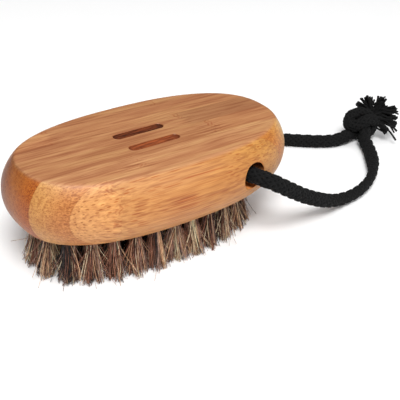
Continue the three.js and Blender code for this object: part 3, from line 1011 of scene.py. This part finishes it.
def hair_curve(start, end, bow):
    """Straight in its hole, then curved out to its tip."""
    mouth = start.copy()
    mouth[2] = BLOCK_BOTTOM
    points = [start]
    for t in np.linspace(0, 1, HAIR_RINGS - 1):
        splay = np.array((t ** SPLAY_POWER, t ** SPLAY_POWER, t))
        points.append(mouth + (end - mouth) * splay + bow * 4 * t * (1 - t))
    return np.array(points)


# ---------------------------------------------------------------- cord

YARN_BLACK = linear(10, 10, 11)
# Paler fibre colour for painted glints on the yarn.
YARN_GLINT = linear(24, 24, 24)
YARN_DUSTY = linear(28, 28, 27)


def cord_material():
    g = Graph("cord_yarn")
    flat = g.millimetres()
    fibre = g.noise(flat, 5.0, 4.0)
    soft = g.noise(flat, 0.7, 2.0)
    # Painted glints: paler specks on the yarn where the fibre noise is high.
    colour = g.mix(g.step(fibre, 0.35, 0.7), YARN_BLACK, YARN_GLINT)
    colour = g.mix(g.math("MULTIPLY", soft, 0.25), colour, YARN_DUSTY)
    g.put(g.shader.inputs["Base Color"], colour)
    g.put(g.shader.inputs["Roughness"], g.math("ADD", 0.7, g.math("MULTIPLY", fibre, 0.25)))
    g.shader.inputs["Specular IOR Level"].default_value = 0.12
    g.shader.inputs["Sheen Weight"].default_value = 0.015
    g.shader.inputs["Sheen Roughness"].default_value = 0.5
    g.bump(fibre, 0.35, 0.00012)
    return g.material


def braid(name, path, diameter, material):
    """Interlaced left and right strands round a core that fills the braid."""
    u, v = path_frames(path)
    travel = np.r_[0, np.cumsum(np.linalg.norm(np.diff(path, axis=0), axis=1))]
    reach = np.broadcast_to(diameter / 2 - STRAND_RADIUS, len(path))
    shapes = [tube(path, reach, 2 * STRAND_SIDES)]
    half = BRAID_STRANDS // 2
    for strand in range(BRAID_STRANDS):
        way = 1 if strand < half else -1
        start = 2 * math.pi * (strand % half) / half
        angle = start + way * 2 * math.pi * travel / BRAID_PITCH
        weave = way * BRAID_WAVE * np.sin(half * (angle - way * start) + strand * math.pi)
        outward = u * np.cos(angle)[:, None] + v * np.sin(angle)[:, None]
        line = path + (reach + weave)[:, None] * outward
        shapes.append(tube(line, STRAND_RADIUS, STRAND_SIDES))
    return resting_object(name, shapes, material)


def resting_object(name, shapes, material):
    """Soft yarn in one mesh, flattened where it rests on the floor."""
    vertices, faces = gather(shapes)
    vertices[:, 2] = np.maximum(vertices[:, 2], 0.0)
    piece = mesh_object(name, vertices, faces, material)
    shade(piece, ALL_SMOOTH)
    return piece


def add_cord(name, node, route, widths, material):
    path = smooth_path([np.array(point) * MM for point in route], RING_SPACING)
    places, diameters = np.array(widths).T * MM
    piece = braid(name, path, np.interp(path[:, 0], places, diameters), material)
    keep_piece(piece, "cord", node)


def in_knot(right, up, towards):
    """A point given in millimetres along the knot's own axes."""
    return KNOT_CENTRE + MM * (right * KNOT_RIGHT + up * KNOT_UP + towards * KNOT_RIGHT.cross(KNOT_UP))


def knot_path(points):
    return smooth_path([in_knot(*point) for point in points], RING_SPACING)


def add_knot(material):
    """An overhand knot: both strands cross and wrap each other, drawn tight."""
    paths = [knot_path(points) for points in (KNOT_NEAR, KNOT_FAR)]
    strands = [braid("knot", path, KNOT_CORD_DIAMETER, material) for path in paths]
    with bpy.context.temp_override(active_object=strands[0], selected_editable_objects=strands):
        bpy.ops.object.join()
    return keep_piece(strands[0], "cord", "cord_knot")


def add_tail(node, leave, clumps, material):
    """A frayed end: clumps of blunt yarns that leave the knot side by side and splay apart."""
    shapes = []
    for direction, reach, yarns in clumps:
        depth = random.normal(0, CLUMP_DEPTH)
        for _ in range(yarns):
            angle = math.radians(direction + random.normal(0, CLUMP_SPREAD))
            length = reach * random.uniform(*YARN_LENGTHS)
            root = np.array(in_knot(*leave)) + random.normal(0, TAIL_ROOT / 2, 3)
            towards = depth + random.normal(0, YARN_DEPTH)
            tip = in_knot(length * math.cos(angle), length * math.sin(angle), towards)
            radius = YARN_RADIUS * random.uniform(*YARN_WIDTHS)
            shapes.append(tube(yarn_path(root, np.array(tip)), radius, STRAND_SIDES))
    return keep_piece(resting_object(f"frayed_{node}", shapes, material), "cord", node)


def yarn_path(root, tip):
    """A yarn that sets off straight out of the knot and bends towards its tip with a slight curl."""
    forward = np.array(KNOT_RIGHT) * math.cos(TAIL_FORWARD) + np.array(KNOT_UP) * math.sin(TAIL_FORWARD)
    bend = root + forward * YARN_BEND * np.linalg.norm(tip - root)
    curl = random.normal(0, TAIL_CURL, 3)
    turns = random.uniform(*TAIL_CURL_TURNS)
    t = np.linspace(0, 1, TAIL_RINGS)[:, None]
    line = root * (1 - t) ** 2 + bend * 2 * t * (1 - t) + tip * t ** 2
    return line + curl * t * np.sin(turns * t)


# ---------------------------------------------------------------- stage

def add_stage():
    corners = [(FLOOR_HALF * x, FLOOR_HALF * y, 0) for x, y in ((-1, -1), (1, -1), (1, 1), (-1, 1))]
    floor = mesh_object("floor", corners, [(0, 1, 2, 3)])
    g = Graph("floor")
    paper = g.mix(g.noise(g.millimetres(), FLOOR_CLOUDS), FLOOR_DARKER, FLOOR_PALER)
    g.put(g.shader.inputs["Base Color"], paper)
    g.shader.inputs["Roughness"].default_value = 0.9
    floor.data.materials.append(g.material)


def add_light(name, place, size, watts):
    data = bpy.data.lights.new(name, "AREA")
    data.size = size
    data.energy = watts
    light = bpy.data.objects.new(name, data)
    scene.collection.objects.link(light)
    place = Vector(place)
    aim = (Vector(LIGHT_AIM) - place).to_track_quat("-Z", "Y")
    light.matrix_world = Matrix.Translation(place) @ aim.to_matrix().to_4x4()


def add_world():
    world = bpy.data.worlds.new("studio")
    world.use_nodes = True
    nodes = world.node_tree.nodes
    links = world.node_tree.links
    rays = nodes.new("ShaderNodeLightPath")
    strength = nodes.new("ShaderNodeMapRange")
    strength.inputs["To Min"].default_value = ROOM_LIGHT
    strength.inputs["To Max"].default_value = ROOM_SEEN
    links.new(rays.outputs["Is Camera Ray"], strength.inputs["Value"])
    nodes["Background"].inputs["Color"].default_value = ROOM_COLOUR
    links.new(strength.outputs[0], nodes["Background"].inputs["Strength"])
    scene.world = world


def add_lights():
    scene.view_settings.view_transform = "Standard"
    add_world()
    for panel in PANELS:
        add_light(*panel)
    data = bpy.data.lights.new("overhead", "SUN")
    data.energy = OVERHEAD_STRENGTH
    data.angle = OVERHEAD_SPREAD
    scene.collection.objects.link(bpy.data.objects.new("overhead", data))


# ---------------------------------------------------------------- assembly

add_camera()
yarn = cord_material()
knot = add_knot(yarn)
tails = [add_tail(*tail, yarn) for tail in TAILS]
add_cord("braid_near", "cord_near", NEAR_ROUTE, NEAR_WIDTH, yarn)
add_cord("braid_far", "cord_far", FAR_ROUTE, FAR_WIDTH, yarn)
tufts = read_tufts()
add_block(tufts)
bristle = hair_material()
for tuft in tufts:
    add_tuft(tuft, tufts, bristle)
add_stage()
add_lights()
